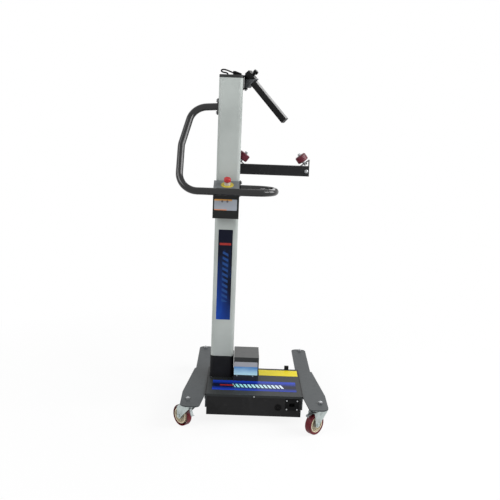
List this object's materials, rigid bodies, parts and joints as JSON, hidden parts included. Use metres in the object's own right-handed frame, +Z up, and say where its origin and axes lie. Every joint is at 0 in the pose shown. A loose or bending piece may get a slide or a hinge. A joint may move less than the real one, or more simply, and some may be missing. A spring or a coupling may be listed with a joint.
{
  "type": "battery wheel lifting trolley",
  "caption": "Mobile battery lifter for vehicle wheels: a slotted column on a low caster base, a belt-raised beam with tilted cradle rollers, a swinging steadying arm and a bent push handle.",
  "frame": {"origin": "on the floor, under the middle of the bounding box", "axes": "+Z up; +X to the operator's right; +Y away from the operator, towards the lifting beam"},
  "size_m": [0.7402, 0.9079, 1.6414],
  "materials": {
    "frame_paint": "gloss dark grey",
    "lid_paint": "satin dark grey",
    "column_paint": "satin light grey",
    "handle_paint": "gloss dark grey",
    "arm_paint": "satin black",
    "beam_paint": "satin black",
    "zinc": "bright zinc",
    "steel": "plain steel",
    "tread": "maroon polyurethane",
    "hub": "cream nylon",
    "black_plastic": "black",
    "box_paint": "satin grey",
    "stop_yellow": "yellow",
    "stop_red": "red",
    "rubber": "black",
    "casting": "cast",
    "pad": "ivory nylon"
  },
  "bodies": {
    "trolley": {"base_tray": "frame_paint", "base_lid": "lid_paint", "left_front_leg": "frame_paint", "right_front_leg": "frame_paint", "left_rear_leg": "frame_paint", "right_rear_leg": "frame_paint", "frame_bolts": "steel", "cover_screws": "steel", "caster_heads": "zinc", "column": "column_paint", "column_sleeve": "black_plastic", "column_cap": "black_plastic", "handle": "handle_paint", "control_box": "box_paint", "stop_ring": "stop_yellow", "stop_body": "black_plastic", "motor_cover": "black_plastic", "gear_motor": "casting", "idler_bracket": "steel", "lift_belt": "rubber", "batteries": "black_plastic", "controller": "casting", "charge_inlet": "black_plastic", "main_switch": "black_plastic", "beam_buffer": "rubber", "arm_hinge": "arm_paint", "lead_plug": "black_plastic", "signal_lead": "rubber"},
    "lifting_beam": {"carriage": "beam_paint", "glide_pads": "pad", "beam": "beam_paint", "roller_brackets": "beam_paint", "roller_bolts": "steel"},
    "drive_pulley": {"drive_pulley": "steel"},
    "idler_pulley": {"idler_pulley": "steel"},
    "left_roller": {"left_roller": "tread"},
    "right_roller": {"right_roller": "tread"},
    "swing_arm": {"arm_bracket": "arm_paint", "arm_tube": "arm_paint", "lock_block": "black_plastic"},
    "lock_knob": {"lock_knob": "black_plastic"},
    "stop_head": {"stop_head": "stop_red"},
    "raise_button": {"raise_button": "black_plastic"},
    "lower_button": {"lower_button": "black_plastic"},
    "switch_rocker": {"switch_rocker": "black_plastic"},
    "front_left_caster": {"front_left_fork": "zinc"},
    "front_left_wheel": {"front_left_hub": "hub", "front_left_tread": "tread"},
    "front_left_brake": {"front_left_pedal": "zinc"},
    "front_right_caster": {"front_right_fork": "zinc"},
    "front_right_wheel": {"front_right_hub": "hub", "front_right_tread": "tread"},
    "front_right_brake": {"front_right_pedal": "zinc"},
    "rear_left_caster": {"rear_left_fork": "zinc"},
    "rear_left_wheel": {"rear_left_hub": "hub", "rear_left_tread": "tread"},
    "rear_right_caster": {"rear_right_fork": "zinc"},
    "rear_right_wheel": {"rear_right_hub": "hub", "rear_right_tread": "tread"}
  },
  "joints": [
    {"name": "beam_lift", "type": "slide", "parent": "trolley", "child": "lifting_beam", "axis": [0, 0, 1], "range_m": [-0.982, 0.12]},
    {"name": "drive_pulley_turn", "type": "hinge", "parent": "trolley", "child": "drive_pulley", "pos_m": [-0.133, -0.0225, 0.092], "axis": [1, 0, 0], "continuous": true},
    {"name": "idler_pulley_turn", "type": "hinge", "parent": "trolley", "child": "idler_pulley", "pos_m": [-0.133, -0.0225, 1.555], "axis": [1, 0, 0], "continuous": true},
    {"name": "left_roller_spin", "type": "hinge", "parent": "lifting_beam", "child": "left_roller", "pos_m": [-0.063, 0.088, 1.228], "axis": [0.6018, 0, 0.7986], "continuous": true},
    {"name": "right_roller_spin", "type": "hinge", "parent": "lifting_beam", "child": "right_roller", "pos_m": [0.224, 0.088, 1.228], "axis": [-0.6018, 0, 0.7986], "continuous": true},
    {"name": "arm_swing", "type": "hinge", "parent": "trolley", "child": "swing_arm", "pos_m": [-0.064, -0.008, 1.575], "axis": [0, 0, 1], "range_deg": [-8, 90]},
    {"name": "lock_pull", "type": "slide", "parent": "swing_arm", "child": "lock_knob", "axis": [0.6243, -0.332, 0.7071], "range_m": [0, 0.008], "stiffness_N_per_m": 800, "springref_m": -0.002},
    {"name": "stop_press", "type": "slide", "parent": "trolley", "child": "stop_head", "axis": [0, 0.348, -0.9375], "range_m": [0, 0.005], "stiffness_N_per_m": 2000, "springref_m": -0.001},
    {"name": "raise_button_press", "type": "slide", "parent": "trolley", "child": "raise_button", "axis": [0, 1, 0], "range_m": [0, 0.0015], "stiffness_N_per_m": 1500, "springref_m": -0.0005},
    {"name": "lower_button_press", "type": "slide", "parent": "trolley", "child": "lower_button", "axis": [0, 1, 0], "range_m": [0, 0.0015], "stiffness_N_per_m": 1500, "springref_m": -0.0005},
    {"name": "rocker_tip", "type": "hinge", "parent": "trolley", "child": "switch_rocker", "pos_m": [0.142, -0.309, 0.086], "axis": [1, 0, 0], "range_deg": [0, 14]},
    {"name": "front_left_swivel", "type": "hinge", "parent": "trolley", "child": "front_left_caster", "pos_m": [-0.277, -0.371, 0.11], "axis": [0, 0, 1], "continuous": true},
    {"name": "front_left_roll", "type": "hinge", "parent": "front_left_caster", "child": "front_left_wheel", "pos_m": [-0.30246, -0.34554, 0.05], "axis": [-0.7071, -0.7071, 0], "continuous": true},
    {"name": "front_left_brake_press", "type": "hinge", "parent": "front_left_caster", "child": "front_left_brake", "pos_m": [-0.26286, -0.38514, 0.1], "axis": [0.7071, 0.7071, 0], "range_deg": [0, 12]},
    {"name": "front_right_swivel", "type": "hinge", "parent": "trolley", "child": "front_right_caster", "pos_m": [0.333, -0.371, 0.11], "axis": [0, 0, 1], "continuous": true},
    {"name": "front_right_roll", "type": "hinge", "parent": "front_right_caster", "child": "front_right_wheel", "pos_m": [0.30754, -0.39646, 0.05], "axis": [0.7071, -0.7071, 0], "continuous": true},
    {"name": "front_right_brake_press", "type": "hinge", "parent": "front_right_caster", "child": "front_right_brake", "pos_m": [0.29623, -0.40777, 0.1045], "axis": [0.7071, -0.7071, 0], "range_deg": [0, 12]},
    {"name": "rear_left_swivel", "type": "hinge", "parent": "trolley", "child": "rear_left_caster", "pos_m": [-0.236, 0.422, 0.104], "axis": [0, 0, 1], "continuous": true},
    {"name": "rear_left_roll", "type": "hinge", "parent": "rear_left_caster", "child": "rear_left_wheel", "pos_m": [-0.24532, 0.38723, 0.05], "axis": [0.9659, -0.2588, 0], "continuous": true},
    {"name": "rear_right_swivel", "type": "hinge", "parent": "trolley", "child": "rear_right_caster", "pos_m": [0.292, 0.422, 0.104], "axis": [0, 0, 1], "continuous": true},
    {"name": "rear_right_roll", "type": "hinge", "parent": "rear_right_caster", "child": "rear_right_wheel", "pos_m": [0.30132, 0.38723, 0.05], "axis": [0.9659, 0.2588, 0], "continuous": true}
  ],
  "couplings": [
    {"joint": "drive_pulley_turn", "follows": "beam_lift", "rad_per_m": 32},
    {"joint": "idler_pulley_turn", "follows": "beam_lift", "rad_per_m": 32}
  ]
}
